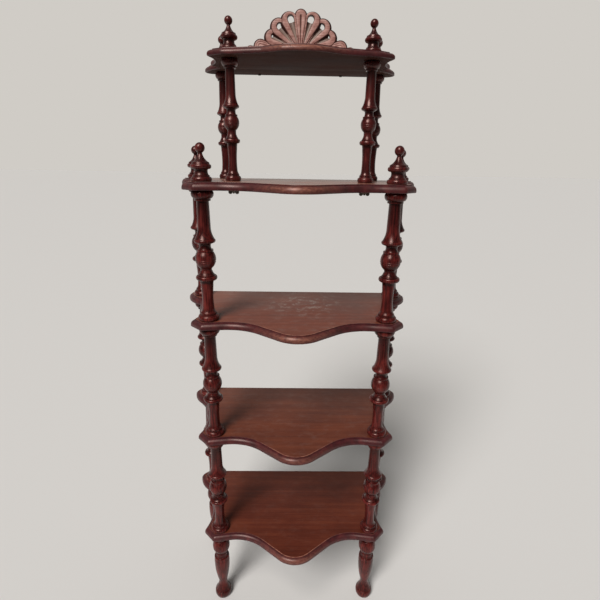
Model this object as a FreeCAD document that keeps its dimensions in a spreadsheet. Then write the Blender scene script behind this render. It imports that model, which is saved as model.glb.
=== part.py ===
import FreeCAD, Part
import os

import Sketcher

# A tall corner-cut etagere of turned and moulded wood, in millimetres.  +X to the right,
# +Y to the back, +Z up; the origin is on the floor, at the middle of the width and the depth.

# Driving dimensions: every one is a cell of the sheet, named by its alias.
SIZES = {
    # Heights of the tiers
    "foot_height": 260,
    "tier_pitch": 360,
    "shelf_thickness": 20,
    "upper_post_length": 280,
    "top_shelf_thickness": 16,
    # Plan of the four lower shelves; distances behind are measured from the front post axis
    "shelf_depth": 384,
    "front_post_spacing": 480,
    "back_post_spacing": 602,
    "nose_reach": 119,
    "back_post_inset": 38.5,
    "nose_half_width": 47,
    "nose_rise": 16,
    "flank_end_from_post": 135,
    "flank_end_ahead": 56,
    "cove_middle_from_post": 90,
    "cove_middle_ahead": 33.5,
    "cove_end_from_post": 40,
    "cove_end_ahead": 30,
    "ear_corner_out": 16,
    "ear_corner_ahead": 38,
    "ear_tip_out": 51,
    "ear_tip_ahead": 2,
    "side_hollow_out": 38,
    "side_point_out": 49,
    "side_point_behind": 117,
    # Plan of the top shelf
    "top_shelf_depth": 283,
    "top_back_setback": 15,
    "upper_front_post_spacing": 340,
    "upper_back_post_spacing": 426,
    "top_nose_reach": 90,
    "upper_back_post_inset": 27,
    "top_nose_half_width": 44,
    "top_nose_rise": 5,
    "top_flank_end_from_post": 80,
    "top_flank_end_ahead": 62,
    "top_cove_middle_from_post": 34,
    "top_cove_middle_ahead": 51,
    "top_cove_end_from_post": 12,
    "top_cove_end_ahead": 46,
    "top_ear_corner_out": 15,
    "top_ear_corner_ahead": 42,
    "top_ear_tip_out": 51,
    "top_ear_tip_ahead": 22,
    "top_side_hollow_out": 42,
    "top_side_point_out": 60,
    "top_side_point_behind": 81,
    # Back ears, alike on every shelf; measured from the back post axis
    "ear_heel_out": 44,
    "ear_heel_behind": 20,
    "back_ear_root_ahead": 50,
    "back_ear_middle_out": 30,
    "back_ear_middle_ahead": 25,
    "back_ear_out": 49,
    "back_ear_corner_out": 29,
    "back_ear_corner_depth": 21,
    # Edge moulding of a shelf: a rounded lower corner, an upright edge, a broad ovolo and a step
    "corner_round": 2.5,
    "edge_height": 5,
    "ovolo_width": 10,
    "step_height": 2.4,
    "step_bevel": 0.6,
    # Turned joints: a tenon under each post or finial passes a shelf into the piece below
    "tenon_radius": 8,
    "tenon_grip": 15,
    "top_tenon_radius": 6,
    "joint_clearance": 0.25,
    "socket_relief": 1,
    # The upper posts are the post turning drawn smaller, and the top finials likewise
    "upper_girth": 0.72,
    "upper_rise": 0.82,
    "top_finial_scale": 0.8,
    # Fastenings of the upper posts
    "bolt_radius": 3,
    "bolt_grip": 30,
    "bolt_tail": 3,
    "washer_radius": 8.5,
    "washer_thickness": 1.6,
    "nut_radius": 6.5,
    "nut_neck_radius": 5,
    "nut_height": 7,
    "wing_span": 28,
    "wing_radius": 5.5,
    "wing_thickness": 2.4,
    "wing_drop": 6,
    # Carved crest: petals fan out from a hinge above the top shelf
    "crest_back_inset": 7,
    "hinge_height": 33,
    "base_half_width": 160,
    "base_step_height": 12,
    "base_shoulder_in": 18,
    "base_top": 8,
    "base_thickness": 9,
    "boss_radius": 14,
    "boss_thickness": 16,
    "groove_start": 30,
    "groove_reach": 99,
    "groove_end_radius": 4,
    "groove_depth": 3,
    "flute_floor": 5,
    # Screws that hold the crest from beneath
    "screw_spacing": 226,
    "screw_radius": 2,
    "screw_grip": 14,
    "screw_head_radius": 5,
    "screw_head_height": 3,
    "screw_head_crown_radius": 3.5,
}

# Turned mouldings from the floor up: height, lower radius, radius at mid height and upper radius.
# A height of None takes what is left of the length, a lower radius of None carries on from the
# moulding below, a middle radius of None leaves the side straight, and an upper one of None upright.
TURNINGS = {
    "post": {
        "base_bead": (16, 24.5, 28, 23.5),
        "base_ring": (6, 21.5, None, None),
        "base_cove": (12, 20.5, 17, 15.8),
        "lower_shaft": (62, None, 14.6, 16.5),
        "lower_flare": (15, None, 16.9, 18.5),
        "lower_bead": (14, 21.5, 26.8, 25),
        "lower_slope": (10, None, 22.5, 17.5),
        "lower_neck": (8, 16, 15, 15.5),
        "ball": (44, None, 26.5, 19.5),
        "upper_ring": (5, 20.8, None, None),
        "upper_neck": (13, 17, 14.8, 16.5),
        "bead_ring": (8, 19.5, None, 25.5),
        "upper_bead": (6, None, 27.2, 24.5),
        "upper_flare": (26, None, 19.3, 16.8),
        "upper_shaft": (None, None, None, 15.3),
        "capital_ring": (6, 20, None, None),
        "capital": (20, 22.5, 28, 24),
    },
    "foot": {
        "pad": (24, 23, 27, 25),
        "pad_cove": (24, 24, 18.5, 14.2),
        "stem": (20, None, 13.6, 14.8),
        "vase": (None, None, 23.2, 23.5),
        "vase_neck": (18, 20.5, 18, 19.5),
        "ball": (50, 18, 27, 20),
        "neck": (6, 17.5, 16.5, 17.5),
        "capital": (18, 21.5, 25.5, 22),
    },
    "finial": {
        "base_bead": (11, 23.5, 25.3, 22.5),
        "base_ring": (4, 20.3, None, None),
        "waist": (15, 18.3, 15.8, 16.8),
        "bead": (12, 19, 24, 21.5),
        "shoulder": (4, 20.6, None, 18.6),
        "spire": (17, 17.8, 10.3, 5.6),
        "neck": (4, 5.2, None, None),
        "knop": (23, 4.6, 12, 1.2),
    },
}

# Petals of the fan on its right-hand side: angle from upright (None on the middle line), reach
# from the hinge, radius of the round end and thickness.
PETALS = {
    "petal_middle": (None, 108.5, 17, 16),
    "petal_inner": (20.5, 108.5, 22, 14),
    "petal_second": (42, 110.5, 22.5, 12.5),
    "petal_outer": (62, 108, 21, 11),
    "lobe": (80.5, 128.5, 18, 10),
    "tail_inner": (86, 149, 12, 9.5),
    "tail_outer": (88.5, 163, 10, 9),
}

# Openings of the fan, drop-shaped: angle, distance of the pointed end, distance from which the
# opening is pierced right through, distance of the round end, and its radius. Short of the
# pierced part it is a flute with a floor.
OPENINGS = {
    "opening_inner": (17.8, 30, 76, 97.5, 8.5),
    "opening_second": (40, 34, 74, 95.5, 8.5),
    "opening_outer": (59, 50, 64, 91, 7),
}

doc = FreeCAD.newDocument("etagere")


def fill_sheet():
    """Write every driving dimension to its own aliased cell."""
    values = dict(SIZES)
    for stick, mouldings in TURNINGS.items():
        for moulding, numbers in mouldings.items():
            for what, number in zip(("height", "lower_radius", "middle_radius", "upper_radius"), numbers):
                values[f"{stick}_{moulding}_{what}"] = number
    for petal, numbers in PETALS.items():
        for what, number in zip(("angle", "reach", "end_radius", "thickness"), numbers):
            values[f"{petal}_{what}"] = number
    for opening, numbers in OPENINGS.items():
        for what, number in zip(("angle", "start", "pierced_from", "reach", "end_radius"), numbers):
            values[f"{opening}_{what}"] = number
    sheet = doc.addObject("Spreadsheet::Sheet", "Sizes")
    used = {alias: number for alias, number in values.items() if number is not None}
    for row, (alias, number) in enumerate(used.items(), start=1):
        sheet.set(f"A{row}", alias.replace("_", " "))
        sheet.set(f"B{row}", str(number))
        sheet.setAlias(f"B{row}", alias)
    doc.recompute()
    return sheet


sheet = fill_sheet()


def cell(alias):
    """The expression that reads one cell of the sheet."""
    return f"Sizes.{alias}"


def value(expression):
    """What an expression comes to, as a plain number."""
    return float(sheet.evalExpression(expression))


def place(piece, x="0", y="0", z="0"):
    """Bind where a piece stands to expressions."""
    for axis, expression in zip("xyz", (x, y, z)):
        piece.setExpression(f"Placement.Base.{axis}", expression)


# ---- Outlines: each is a chain of lines and three-point arcs, its points given as expressions

def fix_point(sketch, geometry, position, point):
    """Tie one sketch point to its two expressions, measured from the sketch's origin."""
    for kind, axis, expression in zip(("DistanceX", "DistanceY"), (-2, -1), point):
        if expression == "0":
            sketch.addConstraint(Sketcher.Constraint("PointOnObject", geometry, position, axis))
            continue
        size = value(expression)
        constraint = sketch.addConstraint(Sketcher.Constraint(kind, -1, 1, geometry, position, size))
        sketch.setExpression(f"Constraints[{constraint}]", expression)


def draw(sketch, start, edges):
    """Draw a closed chain: each edge is (end,) for a line or (middle, end) for an arc."""

    def vector(point):
        return FreeCAD.Vector(value(point[0]), value(point[1]), 0)

    first = None
    previous = None
    here = start
    for edge in edges:
        end = edge[-1]
        if len(edge) == 1:
            geometry = sketch.addGeometry(Part.LineSegment(vector(here), vector(end)))
        else:
            geometry = sketch.addGeometry(Part.Arc(vector(here), vector(edge[0]), vector(end)))
        starts_here = (sketch.getPoint(geometry, 1) - vector(here)).Length < 1e-6
        tail, head = (1, 2) if starts_here else (2, 1)
        if previous is None:
            first = (geometry, tail)
        else:
            sketch.addConstraint(Sketcher.Constraint("Coincident", *previous, geometry, tail))
        if len(edge) == 2:
            middle = sketch.addGeometry(Part.Point(vector(edge[0])), True)
            sketch.addConstraint(Sketcher.Constraint("PointOnObject", middle, 1, geometry))
            fix_point(sketch, middle, 1, edge[0])
        fix_point(sketch, geometry, head, end)
        previous = (geometry, head)
        here = end
    sketch.addConstraint(Sketcher.Constraint("Coincident", *previous, *first))


def flipped(point):
    """A point's mirror image across the middle line."""
    x, y = point
    return (x if x == "0" else f"-({x})", y)


def mirrored(start, edges):
    """The same chain on the left of the middle line, walked back to where it started."""
    ends = [start] + [edge[-1] for edge in edges[:-1]]
    return [tuple(flipped(point) for point in (*edge[:-1], end))
            for edge, end in zip(reversed(edges), reversed(ends))]


def origin_plane(body, role):
    return next(feature for feature in body.Origin.OriginFeatures if feature.Role == role)


def body_sketch(body, name, role, start, edges):
    """A sketch of one closed chain on an origin plane of its own body."""
    sketch = body.newObject("Sketcher::SketchObject", name)
    sketch.AttachmentSupport = [(origin_plane(body, role), "")]
    sketch.MapMode = "FlatFace"
    doc.recompute()
    draw(sketch, start, edges)
    return sketch


# ---- Turned pieces

def turned_edges(stick, length, girth="1", rise="1"):
    """The chain of mouldings of a turned piece, from the edge of its foot up its full length."""

    def size(moulding, what):
        scale = rise if what == "height" else girth
        return f"{cell(f'{stick}_{moulding}_{what}')} * {scale}"

    mouldings = TURNINGS[stick]
    heights = {name: size(name, "height") for name, numbers in mouldings.items() if numbers[0]}
    rest = f"({length}) - ({' + '.join(heights.values())})"
    edges = []
    level = "0"
    radius = None
    for name, (height, lower, middle, upper) in mouldings.items():
        rise_here = heights[name] if height else rest
        top = f"{level} + {rise_here}"
        if lower is not None:
            radius = size(name, "lower_radius")
            edges.append(((radius, level),))
        if middle is not None:
            halfway = (size(name, "middle_radius"), f"{level} + ({rise_here}) / 2")
        if upper is not None:
            radius = size(name, "upper_radius")
        edges.append((halfway, (radius, top)) if middle is not None else ((radius, top),))
        level = top
    return edges


def full_length(stick, scale="1"):
    """The sum of a turning's own heights, for one that fills no given length."""
    return " + ".join(f"{cell(f'{stick}_{name}_height')} * {scale}" for name in TURNINGS[stick])


def turned_body(label, stick, length, tenon=None, bore=None, socket=None, girth="1", rise="1"):
    """One turned piece: tenon or bore at its foot, mouldings, and a socket in its head.

    Each of tenon, bore and socket is a pair of expressions, radius and length.
    """
    if tenon:
        start = ("0", f"-({tenon[1]})")
        edges = [((tenon[0], start[1]),), ((tenon[0], "0"),)]
    elif bore:
        start = ("0", bore[1])
        edges = [(bore,), ((bore[0], "0"),)]
    else:
        start = ("0", "0")
        edges = []
    edges += turned_edges(stick, length, girth, rise)
    if socket:
        floor = f"({length}) - ({socket[1]})"
        edges += [((socket[0], length),), ((socket[0], floor),), (("0", floor),)]
    else:
        edges.append((("0", length),))
    edges.append((start,))
    body = doc.addObject("PartDesign::Body", label)
    body.Label = label
    profile = body_sketch(body, f"{label}_profile", "XZ_Plane", start, edges)
    turning = body.newObject("PartDesign::Revolution", f"{label}_turning")
    turning.Profile = profile
    turning.ReferenceAxis = (profile, ["V_Axis"])
    turning.Angle = 360
    profile.Visibility = False
    body.Tip = turning
    return body


# ---- Where the posts stand

FRONT_Y = f"{cell('nose_reach')} - {cell('shelf_depth')} / 2"
BACK_Y = f"{cell('shelf_depth')} / 2 - {cell('back_post_inset')}"
TOP_BACK_EDGE = f"{cell('shelf_depth')} / 2 - {cell('top_back_setback')}"
TOP_NOSE = f"{TOP_BACK_EDGE} - {cell('top_shelf_depth')}"
UPPER_FRONT_Y = f"{TOP_NOSE} + {cell('top_nose_reach')}"
UPPER_BACK_Y = f"{TOP_BACK_EDGE} - {cell('upper_back_post_inset')}"

LOWER_SPOTS = {
    "front_left": (f"-{cell('front_post_spacing')} / 2", FRONT_Y),
    "front_right": (f"{cell('front_post_spacing')} / 2", FRONT_Y),
    "back_left": (f"-{cell('back_post_spacing')} / 2", BACK_Y),
    "back_right": (f"{cell('back_post_spacing')} / 2", BACK_Y),
}
UPPER_SPOTS = {
    "front_left": (f"-{cell('upper_front_post_spacing')} / 2", UPPER_FRONT_Y),
    "front_right": (f"{cell('upper_front_post_spacing')} / 2", UPPER_FRONT_Y),
    "back_left": (f"-{cell('upper_back_post_spacing')} / 2", UPPER_BACK_Y),
    "back_right": (f"{cell('upper_back_post_spacing')} / 2", UPPER_BACK_Y),
}

TIER_COUNT = 4


def shelf_underside(tier):
    """Height of the underside of one lower shelf, counted from 1."""
    return f"{cell('foot_height')} + {cell('tier_pitch')} * {tier - 1}"


UPPER_SEAT = f"{shelf_underside(TIER_COUNT)} + {cell('shelf_thickness')}"
TOP_UNDERSIDE = f"{UPPER_SEAT} + {cell('upper_post_length')}"
TOP_SEAT = f"{TOP_UNDERSIDE} + {cell('top_shelf_thickness')}"

POST_LENGTH = f"{cell('tier_pitch')} - {cell('shelf_thickness')}"
SOCKET = (f"{cell('tenon_radius')} + {cell('joint_clearance')}",
          f"{cell('tenon_grip')} + {cell('socket_relief')}")
TENON = (cell("tenon_radius"), f"{cell('tenon_grip')} + {cell('shelf_thickness')}")
TOP_SOCKET = (f"{cell('top_tenon_radius')} + {cell('joint_clearance')}", SOCKET[1])
TOP_TENON = (cell("top_tenon_radius"), f"{cell('tenon_grip')} + {cell('top_shelf_thickness')}")
BOLT_BORE = (f"{cell('bolt_radius')} + {cell('joint_clearance')}",
             f"{cell('bolt_grip')} + {cell('socket_relief')}")
CREST_BACK = f"{TOP_BACK_EDGE} - {cell('crest_back_inset')}"
SCREW_Y = f"{CREST_BACK} - {cell('base_thickness')} / 2"
SCREW_HOLE = f"{cell('screw_radius')} + {cell('joint_clearance')}"


def feet():
    pieces = []
    for spot, (x, y) in LOWER_SPOTS.items():
        foot = turned_body(f"foot_{spot}", "foot", cell("foot_height"), socket=SOCKET)
        place(foot, x, y)
        pieces.append(foot)
    return pieces


def lower_posts():
    pieces = []
    for tier in range(1, TIER_COUNT):
        seat = f"{shelf_underside(tier)} + {cell('shelf_thickness')}"
        for spot, (x, y) in LOWER_SPOTS.items():
            post = turned_body(f"post_{tier}_{spot}", "post", POST_LENGTH, tenon=TENON, socket=SOCKET)
            place(post, x, y, seat)
            pieces.append(post)
    return pieces


def upper_posts():
    pieces = []
    for spot, (x, y) in UPPER_SPOTS.items():
        post = turned_body(f"upper_post_{spot}", "post", cell("upper_post_length"), bore=BOLT_BORE,
                           socket=TOP_SOCKET, girth=cell("upper_girth"), rise=cell("upper_rise"))
        place(post, x, y, UPPER_SEAT)
        pieces.append(post)
    return pieces


def finials():
    pieces = []
    for spot, (x, y) in LOWER_SPOTS.items():
        finial = turned_body(f"finial_{spot}", "finial", full_length("finial"), tenon=TENON)
        place(finial, x, y, UPPER_SEAT)
        pieces.append(finial)
    scale = cell("top_finial_scale")
    for spot, (x, y) in UPPER_SPOTS.items():
        finial = turned_body(f"top_finial_{spot}", "finial", full_length("finial", scale),
                             tenon=TOP_TENON, girth=scale, rise=scale)
        place(finial, x, y, TOP_SEAT)
        pieces.append(finial)
    return pieces


# ---- Shelves

def shelf_outline(prefix, depth, nose_reach, front_spacing, back_spacing, back_inset):
    """Right half of a shelf's plan, from the nose to the back edge; y is measured from the nose."""

    def front(out, ahead):
        return (f"{cell(front_spacing)} / 2 {out}", f"{cell(nose_reach)} {ahead}")

    def back(out, ahead):
        return (f"{cell(back_spacing)} / 2 {out}", f"{cell(depth)} - {cell(back_inset)} {ahead}")

    def named(name):
        return cell(f"{prefix}{name}")

    nose_end = (named("nose_half_width"), named("nose_rise"))
    flank_end = front(f"- {named('flank_end_from_post')}", f"- {named('flank_end_ahead')}")
    cove_middle = front(f"- {named('cove_middle_from_post')}", f"- {named('cove_middle_ahead')}")
    cove_end = front(f"- {named('cove_end_from_post')}", f"- {named('cove_end_ahead')}")
    ear_corner = front(f"+ {named('ear_corner_out')}", f"- {named('ear_corner_ahead')}")
    ear_tip = front(f"+ {named('ear_tip_out')}", f"- {named('ear_tip_ahead')}")
    heel_behind = f"{cell('ear_heel_behind')} - {named('ear_tip_ahead')}"
    heel = front(f"+ {cell('ear_heel_out')}", f"+ {heel_behind}")
    hollow = front(f"+ {named('side_hollow_out')}", f"+ ({heel_behind} + {named('side_point_behind')}) / 2")
    side_point = front(f"+ {named('side_point_out')}", f"+ {named('side_point_behind')}")
    ear_root = back("", f"- {cell('back_ear_root_ahead')}")
    ear_middle = back(f"+ {cell('back_ear_middle_out')}", f"- {cell('back_ear_middle_ahead')}")
    ear_end = (back(f"+ {cell('back_ear_out')}", "")[0], f"{cell(depth)} - {cell('back_ear_corner_depth')}")
    corner = (back(f"+ {cell('back_ear_corner_out')}", "")[0], cell(depth))
    corner_middle = (f"({ear_end[0]}) * 0.7 + ({corner[0]}) * 0.3",
                     f"({ear_end[1]}) * 0.3 + ({corner[1]}) * 0.7")
    return nose_end, [
        (flank_end,),
        (cove_middle, cove_end),
        (ear_corner,),
        (ear_tip,),
        (heel,),
        (hollow, side_point),
        (ear_root,),
        (ear_middle, ear_end),
        (corner_middle, corner),
    ]


def tangents(here, edge):
    """Unit directions in which an edge leaves one point and reaches its end, and passes its middle."""
    ends = [FreeCAD.Vector(value(x), value(y), 0) for x, y in (here, *edge)]
    if len(ends) == 2:
        along = (ends[1] - ends[0]).normalize()
        return along, None, along
    arc = Part.Arc(*ends)
    return tuple(arc.tangent(arc.parameter(point))[0].normalize() for point in ends)


def inward(arriving, leaving):
    """How far a corner moves for an inset of one millimetre: the wood lies on the left of the walk."""
    normals = [FreeCAD.Vector(-along.y, along.x, 0) for along in (arriving, leaving)]
    return (normals[0] + normals[1]) * (1 / (1 + normals[0].dot(normals[1])))


def drawn_in(here, edges, inset):
    """The right half of a shelf's plan with every side but the back drawn in by an inset."""

    def moved(point, step):
        return tuple(f"{size} + {amount:.4f} * ({inset})" for size, amount in zip(point, step))

    directions = [tangents(start, edge) for start, edge in zip([here] + [edge[-1] for edge in edges], edges)]
    sideways = FreeCAD.Vector(0, 1, 0)
    leaving = [direction[0] for direction in directions[1:]]
    corners = [inward(direction[2], after) for direction, after in zip(directions, leaving)]
    corners.append(inward(sideways, sideways))
    new_edges = []
    for edge, direction, corner in zip(edges, directions, corners):
        middle = tuple(moved(point, inward(direction[1], direction[1])) for point in edge[:-1])
        new_edges.append((*middle, moved(edge[-1], corner)))
    return moved(here, inward(directions[0][0], directions[0][0])), new_edges


def plan_section(name, start, edges, inset, level):
    """The whole plan of a shelf at one level of its edge moulding."""
    start, edges = drawn_in(start, edges, inset)
    sketch = doc.addObject("Sketcher::SketchObject", name)
    nose = (("0", inset), start)
    across_back = (flipped(edges[-1][-1]),)
    draw(sketch, flipped(start), [nose] + edges + [across_back] + mirrored(start, edges))
    place(sketch, z=level)
    return sketch


def moulded_board(name, start, edges, thickness):
    """A board whose plan follows the edge moulding up: round corner, edge, ovolo and step."""
    corner, edge, width = cell("corner_round"), cell("edge_height"), cell("ovolo_width")
    ovolo_height = f"({thickness} - {cell('step_height')} - {edge})"
    moulding = [
        (corner, "0"),
        (f"{corner} * (1 - cos(45 deg))", f"{corner} * (1 - cos(45 deg))"),
        ("0", corner),
        ("0", edge),
    ]
    for turn in (25, 45, 65, 90):
        moulding.append((f"{width} * (1 - cos({turn} deg))",
                         f"{edge} + {ovolo_height} * sin({turn} deg)"))
    moulding += [
        (width, f"{thickness} - {cell('step_bevel')}"),
        (f"{width} + {cell('step_bevel')}", thickness),
    ]
    board = doc.addObject("Part::Loft", name)
    board.Sections = [plan_section(f"{name}_plan_{number}", start, edges, inset, level)
                      for number, (inset, level) in enumerate(moulding, start=1)]
    board.Solid = True
    board.Ruled = True
    return board


def drilled(label, board, holes, depth):
    """A board with vertical holes through it; each hole is x, y and radius."""
    drills = []
    for number, (x, y, radius) in enumerate(holes, start=1):
        drill = doc.addObject("Part::Cylinder", f"{label}_drill_{number}")
        drill.setExpression("Radius", radius)
        drill.setExpression("Height", depth)
        place(drill, x, y)
        drills.append(drill)
    together = doc.addObject("Part::Compound", f"{label}_drills")
    together.Links = drills
    cut = doc.addObject("Part::Cut", label)
    cut.Label = label
    cut.Base = board
    cut.Tool = together
    return cut


def lower_shelves():
    start, edges = shelf_outline("", "shelf_depth", "nose_reach", "front_post_spacing",
                                 "back_post_spacing", "back_post_inset")
    board = moulded_board("shelf_board", start, edges, cell("shelf_thickness"))
    nose = f"-{cell('shelf_depth')} / 2"
    pieces = []
    for tier in range(1, TIER_COUNT + 1):
        holes = [(x, f"{y} - ({nose})", SOCKET[0]) for x, y in LOWER_SPOTS.values()]
        if tier == TIER_COUNT:
            holes += [(x, f"{y} - ({nose})", BOLT_BORE[0]) for x, y in UPPER_SPOTS.values()]
        shelf = drilled(f"shelf_{tier}", board, holes, cell("shelf_thickness"))
        place(shelf, y=nose, z=shelf_underside(tier))
        pieces.append(shelf)
    return pieces


SCREW_SPOTS = [(f"{side}{cell('screw_spacing')} / 2", SCREW_Y) for side in ("-", "")]


def top_shelf():
    start, edges = shelf_outline("top_", "top_shelf_depth", "top_nose_reach",
                                 "upper_front_post_spacing", "upper_back_post_spacing",
                                 "upper_back_post_inset")
    holes = [(x, f"{y} - ({TOP_NOSE})", TOP_SOCKET[0]) for x, y in UPPER_SPOTS.values()]
    holes += [(x, f"{y} - ({TOP_NOSE})", SCREW_HOLE) for x, y in SCREW_SPOTS]
    board = moulded_board("top_board", start, edges, cell("top_shelf_thickness"))
    shelf = drilled("top_shelf", board, holes, cell("top_shelf_thickness"))
    place(shelf, y=TOP_NOSE, z=TOP_UNDERSIDE)
    return shelf


# ---- Fastenings: each kind is one node of separate solids

def cylinder(name, radius, height, x, y, z):
    rod = doc.addObject("Part::Cylinder", name)
    rod.setExpression("Radius", radius)
    rod.setExpression("Height", height)
    place(rod, x, y, z)
    return rod


def together(label, solids):
    node = doc.addObject("Part::Compound", label)
    node.Label = label
    node.Links = solids
    return node


WASHER_SEAT = shelf_underside(TIER_COUNT)
NUT_SEAT = f"{WASHER_SEAT} - {cell('washer_thickness')}"
NUT_FOOT = f"{NUT_SEAT} - {cell('nut_height')}"


def hanger_bolts():
    foot = f"{NUT_FOOT} - {cell('bolt_tail')}"
    length = f"{UPPER_SEAT} + {cell('bolt_grip')} - ({foot})"
    bolts = [cylinder(f"hanger_bolt_{spot}", cell("bolt_radius"), length, x, y, foot)
             for spot, (x, y) in UPPER_SPOTS.items()]
    return together("hanger_bolts", bolts)


def washers():
    rings = []
    for spot, (x, y) in UPPER_SPOTS.items():
        ring = doc.addObject("Part::Cut", f"washer_{spot}")
        ring.Base = cylinder(f"washer_{spot}_disc", cell("washer_radius"), cell("washer_thickness"),
                             x, y, NUT_SEAT)
        ring.Tool = cylinder(f"washer_{spot}_eye", BOLT_BORE[0], cell("washer_thickness"), x, y, NUT_SEAT)
        rings.append(ring)
    return together("washers", rings)


def wing_nuts():
    """Tapered hubs with two round wings each, screwed up against the washers."""
    nuts = []
    for spot, (x, y) in UPPER_SPOTS.items():
        hub = doc.addObject("Part::Cone", f"wing_nut_{spot}_hub")
        hub.setExpression("Radius1", cell("nut_neck_radius"))
        hub.setExpression("Radius2", cell("nut_radius"))
        hub.setExpression("Height", cell("nut_height"))
        place(hub, x, y, NUT_FOOT)
        wings = []
        for side, name in (("-", "left"), ("+", "right")):
            wing = cylinder(f"wing_nut_{spot}_wing_{name}", cell("wing_radius"), cell("wing_thickness"),
                            f"{x} {side} ({cell('wing_span')} / 2 - {cell('wing_radius')})",
                            f"{y} + {cell('wing_thickness')} / 2",
                            f"{NUT_SEAT} - {cell('wing_drop')}")
            wing.Placement.Rotation = FreeCAD.Rotation(FreeCAD.Vector(1, 0, 0), 90)
            wings.append(wing)
        whole = doc.addObject("Part::MultiFuse", f"wing_nut_{spot}_whole")
        whole.Shapes = [hub] + wings
        nut = doc.addObject("Part::Cut", f"wing_nut_{spot}")
        nut.Base = whole
        nut.Tool = cylinder(f"wing_nut_{spot}_eye", BOLT_BORE[0],
                            f"{cell('nut_height')} + {cell('wing_radius')} + {cell('wing_drop')}",
                            x, y, f"{NUT_SEAT} - {cell('wing_radius')} - {cell('wing_drop')}")
        nuts.append(nut)
    return together("wing_nuts", nuts)


def crest_screws():
    screws = []
    for number, (x, y) in enumerate(SCREW_SPOTS, start=1):
        head = doc.addObject("Part::Cone", f"crest_screw_{number}_head")
        head.setExpression("Radius1", cell("screw_head_crown_radius"))
        head.setExpression("Radius2", cell("screw_head_radius"))
        head.setExpression("Height", cell("screw_head_height"))
        place(head, x, y, f"{TOP_UNDERSIDE} - {cell('screw_head_height')}")
        shank = cylinder(f"crest_screw_{number}_shank", cell("screw_radius"),
                         f"{cell('top_shelf_thickness')} + {cell('screw_grip')}", x, y, TOP_UNDERSIDE)
        screw = doc.addObject("Part::MultiFuse", f"crest_screw_{number}")
        screw.Shapes = [head, shank]
        screws.append(screw)
    return together("crest_screws", screws)


# ---- Carved crest: overlapping petals fan out from a hinge; the sketches' origin is the hinge

def polar(distance, angle):
    return (f"({distance}) * sin({angle})", f"({distance}) * cos({angle})")


def teardrop(angle, start, reach, end_radius):
    """A drop that points at the hinge: straight sides run tangent into a round end."""
    tip = polar(start, angle) if start != "0" else ("0", "0")
    span = f"({reach} - {end_radius} - {start})"
    side = f"sqrt({span}^2 - {end_radius}^2)"
    spread = f"asin({end_radius} / {span})"
    offsets = [polar(side, f"{angle} {turn} {spread}") for turn in ("-", "+")]
    tangents = [(f"{tip[0]} + {x}", f"{tip[1]} + {y}") for x, y in offsets]
    return tip, [(tangents[0],), (polar(reach, angle), tangents[1]), (tip,)]


def circle(x, y, radius):
    """A full circle as two half arcs."""
    left, right = (f"{x} - ({radius})", y), (f"{x} + ({radius})", y)
    return left, [((x, f"{y} + {radius}"), right), ((x, f"{y} - ({radius})"), left)]


def add_pad(body, name, start, edges, thickness):
    """Raise an outline forward from the back plane of the crest."""
    pad = body.newObject("PartDesign::Pad", name)
    pad.Profile = body_sketch(body, f"{name}_outline", "XZ_Plane", start, edges)
    pad.setExpression("Length", thickness)
    body.Tip = pad
    doc.recompute()
    return pad


def cut_pocket(body, name, start, edges, depth, reversed_cut, role="XZ_Plane", lift="0"):
    """Cut an outline out of the body and make sure that wood came away."""
    before = body.Shape.Volume
    sketch = body_sketch(body, f"{name}_outline", role, start, edges)
    sketch.setExpression("AttachmentOffset.Base.z", lift)
    pocket = body.newObject("PartDesign::Pocket", name)
    pocket.Profile = sketch
    pocket.setExpression("Length", depth)
    pocket.Reversed = reversed_cut
    body.Tip = pocket
    doc.recompute()
    if body.Shape.Volume >= before:
        raise RuntimeError(f"{name} cuts nothing")
    return pocket


def both_sides(prefix):
    """The angle of a fan piece and of its mirror image, as expressions."""
    angle = f"{cell(f'{prefix}_angle')} * 1 deg"
    return [angle, f"-{angle}"]


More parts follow.
